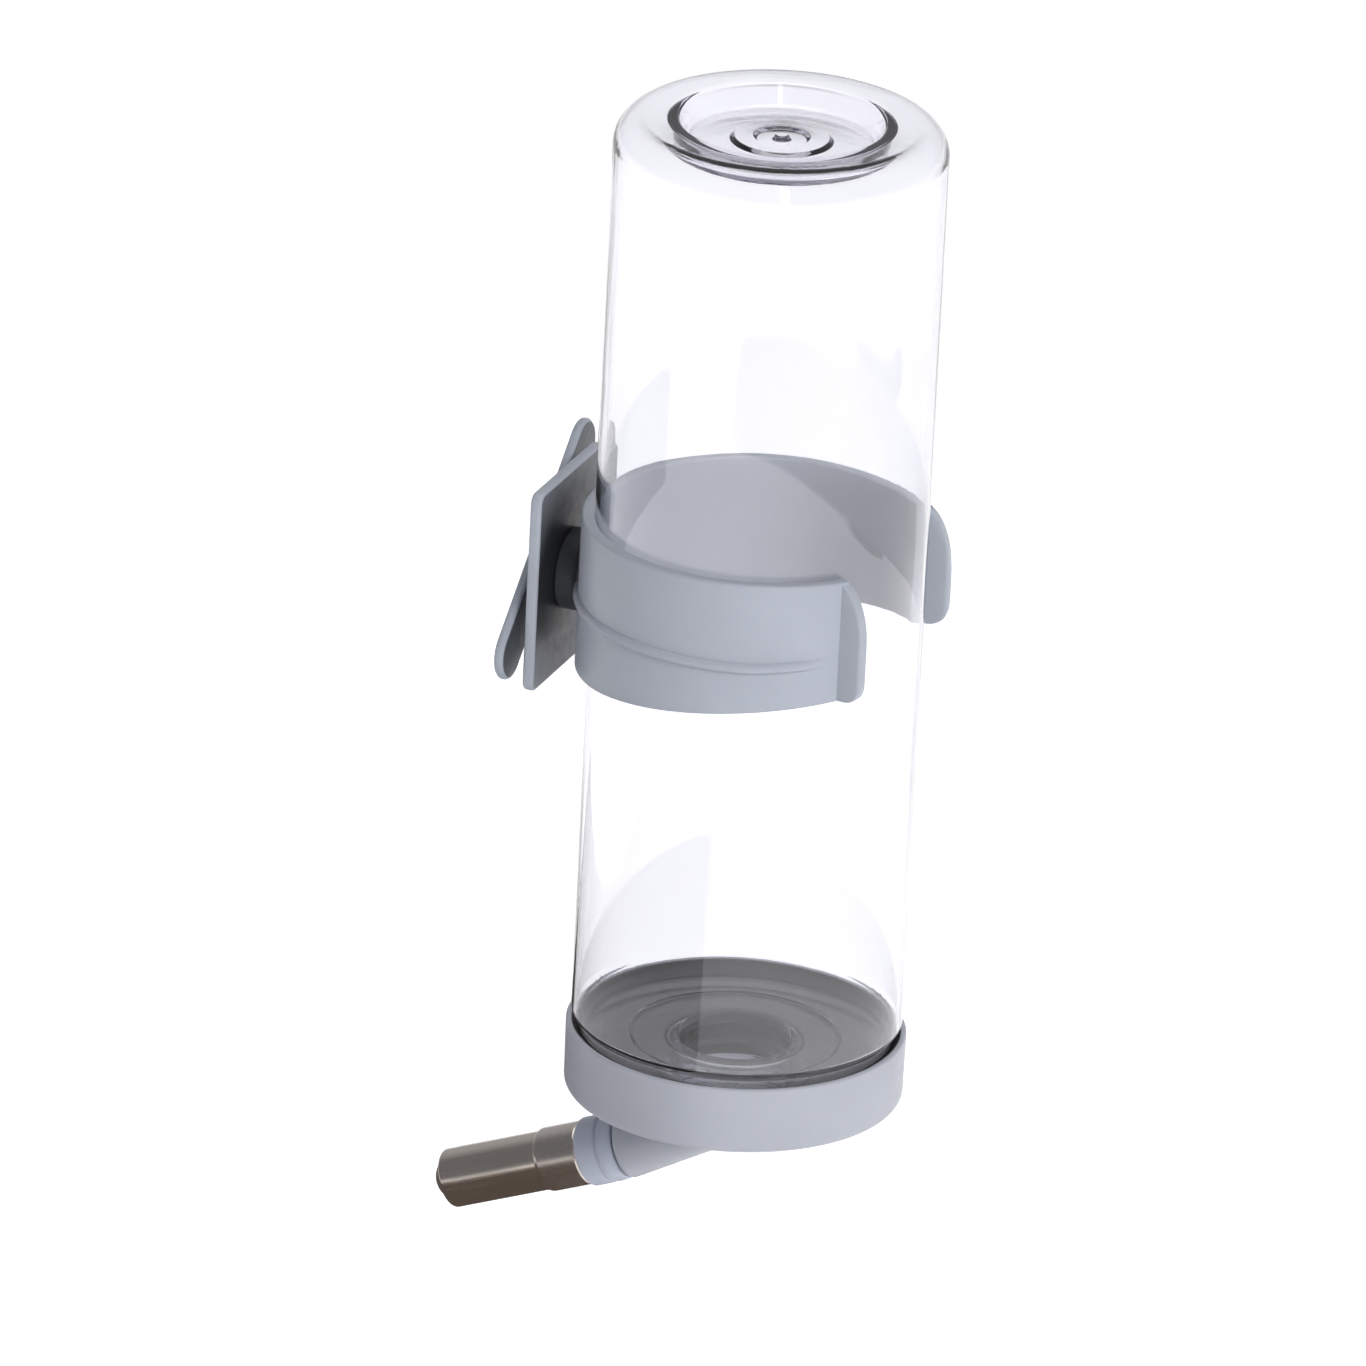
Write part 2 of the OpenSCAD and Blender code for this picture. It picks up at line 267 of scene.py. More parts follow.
def turned(outline, steps=128, closed=True, shift=None):
    """Points and faces of an outline (r, z) turned round Z. An open outline starts and ends on the axis.
    shift(angle, r, z) may return a moved (r, z)."""
    points, faces = [], []
    n = len(outline)
    rings = []
    for i, (r, z) in enumerate(outline):
        if r < 1e-6:
            rings.append([len(points)] * steps)
            points.append((0, 0, z))
            continue
        ring = []
        for k in range(steps):
            a = 2 * math.pi * k / steps
            rr, zz = shift(a, r, z) if shift else (r, z)
            ring.append(len(points))
            points.append((rr * math.cos(a), rr * math.sin(a), zz))
        rings.append(ring)
    for i in range(n if closed else n - 1):
        a, b = rings[i], rings[(i + 1) % n]
        for k in range(steps):
            m = (k + 1) % steps
            face = [a[k], a[m], b[m], b[k]]
            face = [v for j, v in enumerate(face) if v != face[j - 1]]
            if len(face) > 2:
                faces.append(face)
    return points, faces


def slab(outline, low, high, edge, steps=5):
    """Points and faces of a plate from z = low to high with this outline (x, y), its edges rounded."""
    n = len(outline)
    normals = []
    for i in range(n):
        t = Vector(outline[(i + 1) % n]) - Vector(outline[i - 1])
        normals.append(Vector((t.y, -t.x)).normalized())
    area = sum(a[0] * b[1] - b[0] * a[1] for a, b in zip(outline, outline[1:] + outline[:1]))
    outward = 1 if area > 0 else -1
    levels = []
    for k in range(steps + 1):
        a = math.pi / 2 * k / steps
        levels.append((edge * (1 - math.sin(a)), low + edge * (1 - math.cos(a))))
    levels += [(inset, low + high - z) for inset, z in reversed(levels)]
    points = []
    for inset, z in levels:
        for p, normal in zip(outline, normals):
            q = Vector(p) - outward * inset * normal
            points.append((q.x, q.y, z))
    faces = [list(range(n))[::-1], [len(points) - n + i for i in range(n)]]
    for level in range(len(levels) - 1):
        for i in range(n):
            j = (i + 1) % n
            faces.append([level * n + i, level * n + j, (level + 1) * n + j, (level + 1) * n + i])
    return points, faces


def bake_modifiers(obj, sharp=40):
    """Applies an object's modifiers to its mesh."""
    graph = bpy.context.evaluated_depsgraph_get()
    mesh = bpy.data.meshes.new_from_object(obj.evaluated_get(graph))
    obj.modifiers.clear()
    obj.data = mesh
    tidy_mesh(obj, sharp)


def cut(obj, points, faces, place):
    """Takes a solid away from an object."""
    cutter = solid("cutter", points, faces, place)
    boolean = obj.modifiers.new("cut", "BOOLEAN")
    boolean.operation = "DIFFERENCE"
    boolean.solver = "EXACT"
    boolean.object = cutter
    bpy.context.view_layer.update()
    bake_modifiers(obj)
    bpy.data.objects.remove(cutter)


def bore(obj, radius, start, end, place, steps=64):
    """Takes a round hole away from an object, along local Z from start to end."""
    outline = [(0, start), (radius, start), (radius, end), (0, end)]
    cut(obj, *turned(outline, steps, False), place)


# ---------------------------------------------------------------- materials


EDGE_SOFT = 0.03  # the height over which the painted shade's colour sets in


class Shader:
    """A material's node tree, with short calls for the nodes used here."""

    def __init__(self, name):
        self.material = bpy.data.materials.new(name)
        self.material.use_nodes = True
        self.tree = self.material.node_tree
        self.bsdf = self.tree.nodes["Principled BSDF"]
        self.coords = self.tree.nodes.new("ShaderNodeTexCoord").outputs["Object"]

    def set(self, **values):
        for key, value in values.items():
            self.bsdf.inputs[key.replace("_", " ")].default_value = value

    def link(self, output, name):
        self.tree.links.new(output, self.bsdf.inputs[name])

    def node(self, kind, **values):
        made = self.tree.nodes.new(kind)
        for key, value in values.items():
            setattr(made, key, value)
        return made

    def stretched(self, scale):
        """Object coordinates scaled by (x, y, z)."""
        mapping = self.node("ShaderNodeMapping")
        mapping.inputs["Scale"].default_value = scale
        self.tree.links.new(self.coords, mapping.inputs["Vector"])
        return mapping.outputs["Vector"]

    def noise(self, scale, detail=3.0, rough=0.5, vector=None):
        made = self.node("ShaderNodeTexNoise")
        made.inputs["Scale"].default_value = scale
        made.inputs["Detail"].default_value = detail
        made.inputs["Roughness"].default_value = rough
        self.tree.links.new(vector or self.coords, made.inputs["Vector"])
        return made.outputs["Fac"]

    def ramp(self, factor, low, high, start=0.3, end=0.7):
        """Colours or greys from low to high as the factor goes from start to end."""
        made = self.node("ShaderNodeValToRGB")
        for stop, at, value in zip(made.color_ramp.elements, (start, end), (low, high)):
            stop.position = at
            stop.color = (value, value, value, 1) if isinstance(value, float) else (*value, 1)
        self.tree.links.new(factor, made.inputs["Fac"])
        return made.outputs["Color"]

    def product(self, a, b):
        made = self.node("ShaderNodeMath", operation="MULTIPLY")
        for socket, value in zip(made.inputs, (a, b)):
            self.tree.links.new(value, socket)
        return made.outputs["Value"]

    def between(self, value, start, end):
        """0 before the start, rising evenly to 1 at the end and beyond."""
        made = self.node("ShaderNodeMapRange")
        made.inputs["From Min"].default_value = start
        made.inputs["From Max"].default_value = end
        self.tree.links.new(value, made.inputs["Value"])
        return made.outputs["Result"]

    def inside(self, radius, height, soft):
        """1 nearer the Z axis than the radius and above the height, 0 elsewhere, in millimetres."""
        flat = self.node("ShaderNodeVectorMath", operation="LENGTH")
        self.tree.links.new(self.stretched((1, 1, 0)), flat.inputs[0])
        split = self.node("ShaderNodeSeparateXYZ")
        self.tree.links.new(self.coords, split.inputs["Vector"])
        near = self.between(flat.outputs["Value"], radius * MM, (radius - soft) * MM)
        above = self.between(split.outputs["Z"], (height - EDGE_SOFT) * MM, height * MM)
        return self.product(near, above)

    def mixed(self, factor, first, second):
        """One colour where the factor is 0, the other where it is 1."""
        made = self.node("ShaderNodeMix", data_type="RGBA")
        for name, value in (("Factor_Float", factor), ("A_Color", first), ("B_Color", second)):
            self.tree.links.new(value, next(i for i in made.inputs if i.identifier == name))
        return next(o for o in made.outputs if o.identifier == "Result_Color")

    def bump(self, height, strength, distance, under=None):
        made = self.node("ShaderNodeBump")
        made.inputs["Strength"].default_value = strength
        made.inputs["Distance"].default_value = distance
        self.tree.links.new(height, made.inputs["Height"])
        if under:
            self.tree.links.new(under, made.inputs["Normal"])
        return made.outputs["Normal"]


def moulded_plastic(name, color, gloss=0.36, grain=2600.0, painted_shade=None):
    """Injection-moulded plastic: a fine eroded grain, slow flow variation and a few fine scuffs.
    A painted_shade (radius, height, softness, colour) paints shade: a darker colour inside the radius,
    above the height, where shadow falls between parts."""
    s = Shader(name)
    flow = s.noise(38.0, 4.0, 0.55)
    darker = tuple(c * 0.94 for c in color)
    lighter = tuple(min(1, c * 1.05) for c in color)
    shade = s.ramp(flow, darker, lighter)
    # Painted shade: a darker colour mixed in inside the radius, above the height, standing in for shadow.
    if painted_shade:
        radius, height, soft, inside = painted_shade
        painted_shade_color = s.ramp(flow, tuple(c * 0.7 for c in inside), inside)
        shade = s.mixed(s.inside(radius, height, soft), shade, painted_shade_color)
    s.link(shade, "Base Color")
    wear = s.noise(420.0, 6.0, 0.65)
    s.link(s.ramp(wear, gloss - 0.05, gloss + 0.09, 0.35, 0.72), "Roughness")
    fine = s.bump(s.noise(grain, 2.0, 0.6), 0.10, 0.00006)
    scuffs = s.noise(90.0, 8.0, 0.75, s.stretched((1, 1, 9)))
    s.link(s.bump(scuffs, 0.05, 0.0002, fine), "Normal")
    s.set(IOR=1.49, Subsurface_Weight=0.04, Subsurface_Scale=0.004)
    return s.material


def clear_pet(name):
    """Clear blow-moulded plastic: faint upright draw lines, and a cool tint where the wall is long."""
    s = Shader(name)
    s.set(Base_Color=(0.985, 0.985, 1.0, 1), IOR=1.57, Transmission_Weight=1.0)
    smears = s.noise(55.0, 5.0, 0.6)
    s.link(s.ramp(smears, 0.0, 0.035, 0.45, 0.8), "Roughness")
    draw = s.noise(150.0, 3.0, 0.5, s.stretched((1, 1, 0.06)))
    s.link(s.bump(draw, 0.12, 0.0003), "Normal")
    tint = s.node("ShaderNodeVolumeAbsorption")
    tint.inputs["Color"].default_value = (0.62, 0.60, 0.72, 1)
    tint.inputs["Density"].default_value = 85.0
    s.tree.links.new(tint.outputs["Volume"], s.tree.nodes["Material Output"].inputs["Volume"])
    return s.material


def drawn_steel(name, color, rough=0.2, along=0.02):
    """Polished stainless tube: hair-fine lines along it, a slight colour drift and small smears."""
    s = Shader(name)
    drift = s.noise(60.0, 3.0, 0.5)
    s.link(s.ramp(drift, tuple(c * 0.93 for c in color), color), "Base Color")
    lines = s.noise(2400.0, 3.0, 0.6, s.stretched((1, 1, along)))
    s.link(s.ramp(lines, rough - 0.05, rough + 0.12, 0.3, 0.75), "Roughness")
    s.link(s.bump(lines, 0.10, 0.00008), "Normal")
    s.set(Metallic=1.0)
    return s.material


def rubber(name, color, rough=0.55):
    """Soft moulded rubber with a dusty, uneven surface."""
    s = Shader(name)
    dust = s.noise(300.0, 5.0, 0.6)
    s.link(s.ramp(dust, tuple(c * 0.85 for c in color), color), "Base Color")
    s.link(s.ramp(dust, rough - 0.08, rough + 0.1), "Roughness")
    s.link(s.bump(s.noise(1500.0, 3.0, 0.5), 0.15, 0.00008), "Normal")
    return s.material


GREY = (0.33, 0.355, 0.405)
ring_plastic = moulded_plastic("ring_plastic", GREY)
# Painted shade: the plate's outer face darkens towards the hub, standing in for the shadow in the gap
# under the band.
plate_shade = (42.0, PLATE_T - 0.01, 26.0, (0.022, 0.024, 0.028))
plate_plastic = moulded_plastic("plate_plastic", GREY, 0.38, painted_shade=plate_shade)
# Painted shade: the hub is part of the band's grey moulding, coloured near black for the shadow in the
# gap between plate and band.
hub_painted_shade = moulded_plastic("hub_painted_shade", (0.05, 0.055, 0.065), 0.45)
# Painted shade: the bar's face towards the plate, and what stands above it, is darkened for the shadow
# between bar and plate.
bar_shade = (40.0, -WIRE_ROOM - 0.02, 1.0, (0.06, 0.068, 0.08))
bar_plastic = moulded_plastic("bar_plastic", (0.31, 0.34, 0.39), 0.4, painted_shade=bar_shade)
# Painted shade: inside the skirt, from the floor up, the cup is darker, standing in for the shadow under
# the bottle.
cap_shade = (SKIRT_R - 1.0, 1.6, 0.2, (0.042, 0.041, 0.041))
cap_plastic = moulded_plastic("cap_plastic", (0.345, 0.36, 0.405), 0.34, painted_shade=cap_shade)
holder_plastic = moulded_plastic("holder_plastic", (0.41, 0.44, 0.52), 0.33)
pet = clear_pet("clear_pet")
# Steel colours: the grey metal is the steel's own; the warm brownish tint of tube and ferrule is a
# painted reflection of a brown tray below.
steel = drawn_steel("tube_steel", (0.62, 0.56, 0.50), 0.17)
ferrule_steel = drawn_steel("ferrule_steel", (0.60, 0.55, 0.50), 0.2, 40.0)
ball_steel = drawn_steel("ball_steel", (0.75, 0.75, 0.75), 0.12, 1.0)
spring_steel = drawn_steel("spring_steel", (0.60, 0.59, 0.57), 0.3, 1.0)
silicone = rubber("silicone", (0.26, 0.26, 0.25), 0.45)
nitrile = rubber("nitrile", (0.03, 0.03, 0.032))

# ---------------------------------------------------------------- bottle


def ridge(angle, z, start):
    """How far a point lies up the side of a screw ridge, from 0 off it to 1 on its crest."""
    past, taper = 0.02, 0.05
    best = 0.0
    for turn in range(-1, 3):
        along = angle / (2 * math.pi) + turn
        if -past <= along <= THREAD_TURNS + past:
            ends = min(1, (along + past) / taper, (THREAD_TURNS + past - along) / taper)
            off = abs(z - start - LEAD * along)
            rise = min(1, max(0, (RIDGE_HALF - off) / (RIDGE_HALF * 0.5)))
            best = max(best, ends * rise * rise * (3 - 2 * rise))
    return best


def bottle_shift(angle, r, z):
    """The neck's thread on the outside, and an uneven wall inside."""
    if abs(r - NECK_R) < 0.01 and MOUTH_Z + 0.6 < z < ROOT_Z:
        return r + NECK_RIDGE * ridge(angle, z, THREAD_Z), z
    if abs(r - (BOTTLE_R - WALL)) < 0.01:
        around = Vector((math.cos(angle), math.sin(angle), z / 110))
        return r + 0.10 * noise.noise(around * 1.7), z
    return r, z


def bottle_outside():
    """From the middle of the dished base over the rim and down to the neck's last straight stretch."""
    top = BOTTLE_H
    dish = top - PUNT_DEPTH
    return rounded(
        [
            (0, dish + 0.9),
            (1.3, dish + 0.9, 0.5),
            (1.8, dish, 0.4),
            (4.9, dish, 0.4),
            (5.6, dish + 0.6, 0.4),
            (9.3, dish + 0.6, 0.5),
            (10.2, dish - 0.05, 0.5),
            (PUNT_R - 2.4, dish - 0.05, 1.0),
            (PUNT_R - 0.2, top, 1.0),
            (BOTTLE_R, top, SHOULDER_R),
            (BOTTLE_R, STEP_Z + 1.2, 0.8),
            (BOTTLE_R - WAIST, STEP_Z, 0.8),
            (BOTTLE_R - WAIST, LOWER_Z, 3.6),
            (LOWER_STEP_R + 0.8, LOWER_Z, 0.6),
            (LOWER_STEP_R, LOWER_Z - 0.6, 0.6),
            (NECK_R, LOWER_Z - 0.6, 2.0),
            (NECK_R, MOUTH_Z + 0.8),
        ],
        10,
        closed=False,
    )


def bottle_inside():
    """From the bore up and over to the middle of the base, which is a little thicker than the wall."""
    top = BOTTLE_H - WALL
    dish = top - PUNT_DEPTH
    waist_r = BOTTLE_R - WAIST - WALL
    return rounded(
        [
            (NECK_BORE_R, 0),
            (NECK_BORE_R, LOWER_Z + 0.3, 1.2),
            (LOWER_STEP_R - 0.3, LOWER_Z + 0.3, 0.6),
            (LOWER_STEP_R + 0.5, LOWER_Z + WALL, 0.6),
            (waist_r, LOWER_Z + WALL, 2.8),
            (waist_r, STEP_Z + 0.3, 0.8),
            (BOTTLE_R - WALL, STEP_Z + 1.5, 0.8),
            (BOTTLE_R - WALL, top, SHOULDER_R - WALL),
            (PUNT_R + 1.4, top - 0.3, 1.2),
            (PUNT_R - 0.6, dish - 1.4, 2.2),
            (0, dish - 0.5),
        ],
        10,
        closed=False,
    )


def bottle():
    outside = bottle_outside()
    crown = spaced(outside[:-1], 6.0)
    neck = spaced(outside[-2:], 0.2)
    lip = [outside[-1], (NECK_R, MOUTH_Z, 0.4), (NECK_BORE_R, MOUTH_Z, 0.3), (NECK_BORE_R, 0)]
    mouth = rounded(lip, 4, False)
    outline = crown[:-1] + neck[:-1] + mouth[:-1] + spaced(bottle_inside(), 6.0)
    shell = turned(outline, 176, False, bottle_shift)
    obj = make("bottle_shell", *shell, BOTTLE, "bottle", pet, "bottle")
    obj.visible_shadow = False


def gasket():
    low, high, edge = SOCKET_Z, MOUTH_Z, 0.25
    corners = [(GASKET_IN_R, low), (GASKET_R, low), (GASKET_R, high), (GASKET_IN_R, high)]
    outline = rounded([(r, z, edge) for r, z in corners])
    make("gasket_ring", *turned(outline), BOTTLE, "gasket", silicone, "neck_gasket")


bottle()
gasket()

# ---------------------------------------------------------------- cap


def cap_shift(angle, r, z):
    """The thread that stands into the socket."""
    if abs(r - SOCKET_R) < 0.01 and SOCKET_Z + 0.6 < z < COLLAR_TOP - 0.4:
        return r - SOCKET_RIDGE * ridge(angle, z, THREAD_Z + LEAD / 2), z
    return r, z


def cap_cup():
    """The skirt, the floor and the threaded socket. Below the floor, cap_boss covers the socket."""
    under_r, under_z = COLLAR_R - 0.6, -6.5
    before = rounded(
        [
            (DRAIN_R, SOCKET_Z, 0.2),
            (DRAIN_R, under_z, 0.1),
            (under_r, under_z, 0.5),
            (under_r, 0, 0.6),
            (SKIRT_R - 0.15, 0, 1.9),
            (SKIRT_R, SKIRT_H, 0.5),
            (SKIRT_IN_R + 0.1, SKIRT_H, 0.5),
            (SKIRT_IN_R, FLOOR_T, 1.6),
            (COLLAR_R, FLOOR_T, 0.7),
            (COLLAR_R, COLLAR_TOP, 0.5),
            (SOCKET_R, COLLAR_TOP, 0.35),
        ],
        closed=False,
    )
    wall = spaced([(SOCKET_R, COLLAR_TOP - 0.4), (SOCKET_R, SOCKET_Z + 0.3)], 0.2)
    outline = before[:-1] + wall + [(SOCKET_R - 0.3, SOCKET_Z)]
    make("cap_cup", *turned(outline, 160, True, cap_shift), BOTTLE, "cap", cap_plastic, "cap")


BOSS_END = 23.7
BOSS_R = 6.9
BOSS_ROOT_R = 3.4
BOSS_TOP = 0.8  # how far the boss reaches up into the floor
PLUG_R = 4.3
PLUG_START = 13.6
PLUG_ROOM = 0.08
BLEND_VOXEL = 0.34


def cap_boss():
    """The socket's outside, the slanted boss under it and the web between them, as one moulding."""
    low = -7.5
    collar = rounded([(0, BOSS_TOP), (0, low), (COLLAR_R, low, 1.0), (COLLAR_R, BOSS_TOP)], 5, False)
    obj = make("cap_boss", *turned(collar[::-1], 96, False), BOTTLE, "cap", cap_plastic, "cap")
    root, end = -2, BOSS_END
    cone = rounded([(0, root), (BOSS_ROOT_R, root), (BOSS_R, end, 0.5), (0, end)], 4, False)
    near, far, foot = 1 - COLLAR_R, -BOSS_END - 1, -12
    web = [(near, BOSS_TOP), (near, foot), (far + 3, foot), (far, BOSS_TOP)]
    upright = BOTTLE @ Matrix.Rotation(math.radians(90), 4, "X")
    parts = [
        obj,
        solid("cone", *turned(cone, 96, False), SPOUT),
        solid("web", *slab(web, -1, 1, 0.3), upright),
    ]
    bpy.context.view_layer.update()
    with bpy.context.temp_override(active_object=obj, selected_editable_objects=parts):
        bpy.ops.object.join()
    remesh = obj.modifiers.new("blend", "REMESH")
    remesh.mode = "VOXEL"
    remesh.voxel_size = BLEND_VOXEL * MM
    smooth = obj.modifiers.new("fillet", "SMOOTH")
    smooth.factor = 0.6
    smooth.iterations = 9
    bake_modifiers(obj)
    bore(obj, PLUG_R + PLUG_ROOM, PLUG_START - 0.5, BOSS_END + 3.4, SPOUT)
    bore(obj, DRAIN_R, 0, PLUG_START + 0.4, SPOUT, 48)
    bore(obj, DRAIN_R, -9, 3, BOTTLE, 48)
    bore(obj, SOCKET_R + 0.6, -6.2, 1.8, BOTTLE, 96)
    for points, faces, place in bayonet_slot():
        cut(obj, points, faces, place)
    obj.data.materials.clear()
    obj.data.materials.append(cap_plastic)


SLOT_S = 19.6
SLOT_W = 3.0
SLOT_TURN = 60.0  # degrees from the lug's place at rest to the slot's leg
LUG_ROOM = 21.0  # degrees that the slot goes on past the lug's middle
LUG_AT = 40.0  # degrees round from the top, at rest
LUG_HALF = 1.2
LUG_ROOT_R = 3.6
LUG_R = 6.0
SLOT_IN_R = 3.9
SLOT_OUT_R = 8.3
LEG_REACH = 9.5  # how far out the leg is cut


def bayonet_slot():
    """The slot's two legs: along the turn, and straight out of the boss's end."""
    first, last = LUG_AT - SLOT_TURN - LUG_ROOM, LUG_AT + LUG_ROOM
    half = SLOT_W / 2
    steps = 24
    points = []
    for k in range(steps + 1):
        a = math.radians(first + (last - first) * k / steps)
        for r in (SLOT_IN_R, SLOT_OUT_R):
            for z in (SLOT_S - half, SLOT_S + half):
                points.append((r * math.cos(a), r * math.sin(a), z))
    faces = [[0, 1, 3, 2], [4 * steps + v for v in (2, 3, 1, 0)]]
    for k in range(steps):
        for a, b in ((0, 1), (1, 3), (3, 2), (2, 0)):
            faces.append([4 * k + a, 4 * k + b, 4 * k + 4 + b, 4 * k + 4 + a])
    yield points, faces, SPOUT
    leg = [(0, -half), (LEG_REACH, -half), (LEG_REACH, half), (0, half)]
    turn = Matrix.Rotation(math.radians(LUG_AT - SLOT_TURN), 4, "Z")
    yield *slab(leg, SLOT_S, BOSS_END + 3, 0.01, 1), SPOUT @ turn


cap_cup()
cap_boss()

# ---------------------------------------------------------------- spout

BARREL_START = 24.0
BARREL_R = 7.0
BARREL_END = 32.2
GLAND_Z = 27.25  # the groove round the barrel
SPIGOT_R = 5.25
SPIGOT_END = 40.0
SEAL_Z = 15.8
SEAL_ROOT_R = 2.9
SEAL_R = 0.72
FERRULE_R = 6.5
FERRULE_END = 41.7
TUBE_START = 32.3
TUBE_R = 6.0
TUBE_BORE_R = 5.3
TUBE_OUT = 63.8
TUBE_LIP_R = 4.73
BALL_R = 5.0
BALL_S = 61.65


def holder():
    """The plug with its O-ring groove, the barrel and the spigot in the tube, and the bayonet lug."""
    barrel = rounded(
        [
            (DRAIN_R, PLUG_START, 0.2),
            (PLUG_R, PLUG_START, 0.5),
            (PLUG_R, SEAL_Z - 0.9, 0.15),
            (SEAL_ROOT_R, SEAL_Z - 0.9, 0.1),
            (SEAL_ROOT_R, SEAL_Z + 0.9, 0.1),
            (PLUG_R, SEAL_Z + 0.9, 0.15),
            (PLUG_R, BARREL_START, 0.2),
            (BARREL_R - 0.3, BARREL_START, 0.5),
            (BARREL_R, GLAND_Z - 0.55, 0.5),
            (BARREL_R - 0.45, GLAND_Z - 0.25, 0.15),
            (BARREL_R - 0.45, GLAND_Z + 0.25, 0.15),
            (BARREL_R, GLAND_Z + 0.55, 0.5),
            (BARREL_R, BARREL_END, 0.6),
            (SPIGOT_R, BARREL_END, 0.1),
            (SPIGOT_R, SPIGOT_END, 0.6),
            (DRAIN_R, SPIGOT_END, 0.3),
        ],
        5,
    )
    make("holder_barrel", *turned(barrel), SPOUT, "spout", holder_plastic, "spout_holder")
    h = LUG_HALF
    root, tip = LUG_ROOT_R, LUG_R
    lug = rounded([(root, -h, 0.2), (tip, -h, 0.4), (tip, h, 0.4), (root, h, 0.2)], 4)
    place = SPOUT @ Matrix.Rotation(math.radians(LUG_AT), 4, "Z")
    shape = slab(lug, SLOT_S - h, SLOT_S + h, 0.3)
    make("holder_lug", *shape, place, "spout", holder_plastic, "spout_holder")


def seal():
    turns = [2 * math.pi * k / 24 for k in range(24)]
    middle = SEAL_ROOT_R + SEAL_R + 0.02
    circle = [(middle + SEAL_R * math.cos(a), SEAL_Z + SEAL_R * math.sin(a)) for a in turns]
    make("o_ring", *turned(circle, 96), SPOUT, "spout", nitrile, "spout_o_ring")


def ferrule():
    bore_r, mouth_r = TUBE_R + 0.02, FERRULE_R - 0.15
    outline = rounded(
        [
            (bore_r, TUBE_START, 0.1),
            (mouth_r, TUBE_START, 0.2),
            (FERRULE_R, TUBE_START + 0.4, 0.2),
            (FERRULE_R, FERRULE_END - 0.7, 0.3),
            (mouth_r, FERRULE_END, 0.25),
            (bore_r, FERRULE_END, 0.1),
        ],
        5,
    )
    sleeve = turned(spaced(outline, 2.0, True))
    make("ferrule_sleeve", *sleeve, SPOUT, "spout", ferrule_steel, "spout_ferrule")


def tube():
    """A thin tube whose end is rolled in over the front ball."""
    outline = rounded(
        [
            (TUBE_BORE_R, TUBE_START, 0.1),
            (TUBE_R, TUBE_START, 0.15),
            (TUBE_R, TUBE_OUT, 1.9),
            (TUBE_LIP_R, TUBE_OUT, 0.3),
            (TUBE_LIP_R + 0.05, TUBE_OUT - 0.6, 0.15),
            (TUBE_BORE_R, TUBE_OUT - 1.9, 0.6),
        ],
        8,
    )
    sleeve = turned(spaced(outline, 3.0, True), 144)
    make("tube_sleeve", *sleeve, SPOUT, "spout", steel, "spout_tube")


def ball(name, centre, body, node):
    steps = 40
    arc = [math.pi * k / steps for k in range(1, steps)]
    half = [(BALL_R * math.sin(a), centre + BALL_R * math.cos(a)) for a in arc]
    half = [(0, centre + BALL_R)] + half + [(0, centre - BALL_R)]
    make(name, *turned(half, 80, False), SPOUT, body, ball_steel, node)


holder()
seal()
ferrule()
tube()
ball("ball_front", BALL_S, "ball", "valve_ball")
ball("ball_back", BALL_S - 2 * BALL_R - 0.05, "ball_rear", "valve_ball_rear")

# ---------------------------------------------------------------- snap ring


def band_section(inset, bottom, top, rib):
    """One section of the band as (outward, z): a rounded rectangle with the rib on its outer side."""
    low, high = bottom + inset, top - inset
    inner, outer = inset, RING_T - inset
    edge = min(BAND_EDGE_R, 0.45 * (high - low), 0.45 * (outer - inner))
    middle = min(max(RING_TOP - RIB_DROP, low + 0.35 * (high - low)), high - 0.3 * (high - low))
    reach = min(1.6, 0.25 * (high - low))
    side = [(outer, low + edge + (middle - reach - low - edge) * k / 4) for k in range(4)]
    for k in range(13):
        z = -reach + 2 * reach * k / 12
        bulge = math.sqrt(max(0, 1 - (z / RIB_R) ** 2)) if reach > 1.5 else 0
        side.append((outer + RIB_R * rib * bulge, middle + z))
    side += [(outer, middle + reach + (high - edge - middle - reach) * k / 6) for k in range(1, 7)]
    corners = []
    for cx, cz, start in ((outer - edge, high - edge, 0), (inner + edge, high - edge, 90)):
        arc = [math.radians(start + 90 * k / 4) for k in range(1 if start == 0 else 0, 5)]
        corners += [(cx + edge * math.cos(a), cz + edge * math.sin(a)) for a in arc]
    inside = [(inner, high - edge + (low - high + 2 * edge) * k / 8) for k in range(1, 9)]
    under = []
    for cx, cz, start in ((inner + edge, low + edge, 180), (outer - edge, low + edge, 270)):
        arc = [math.radians(start + 90 * k / 4) for k in range(1 if start == 180 else 0, 5)]
        under += [(cx + edge * math.cos(a), cz + edge * math.sin(a)) for a in arc]
    return side + corners + inside + under[:-1]


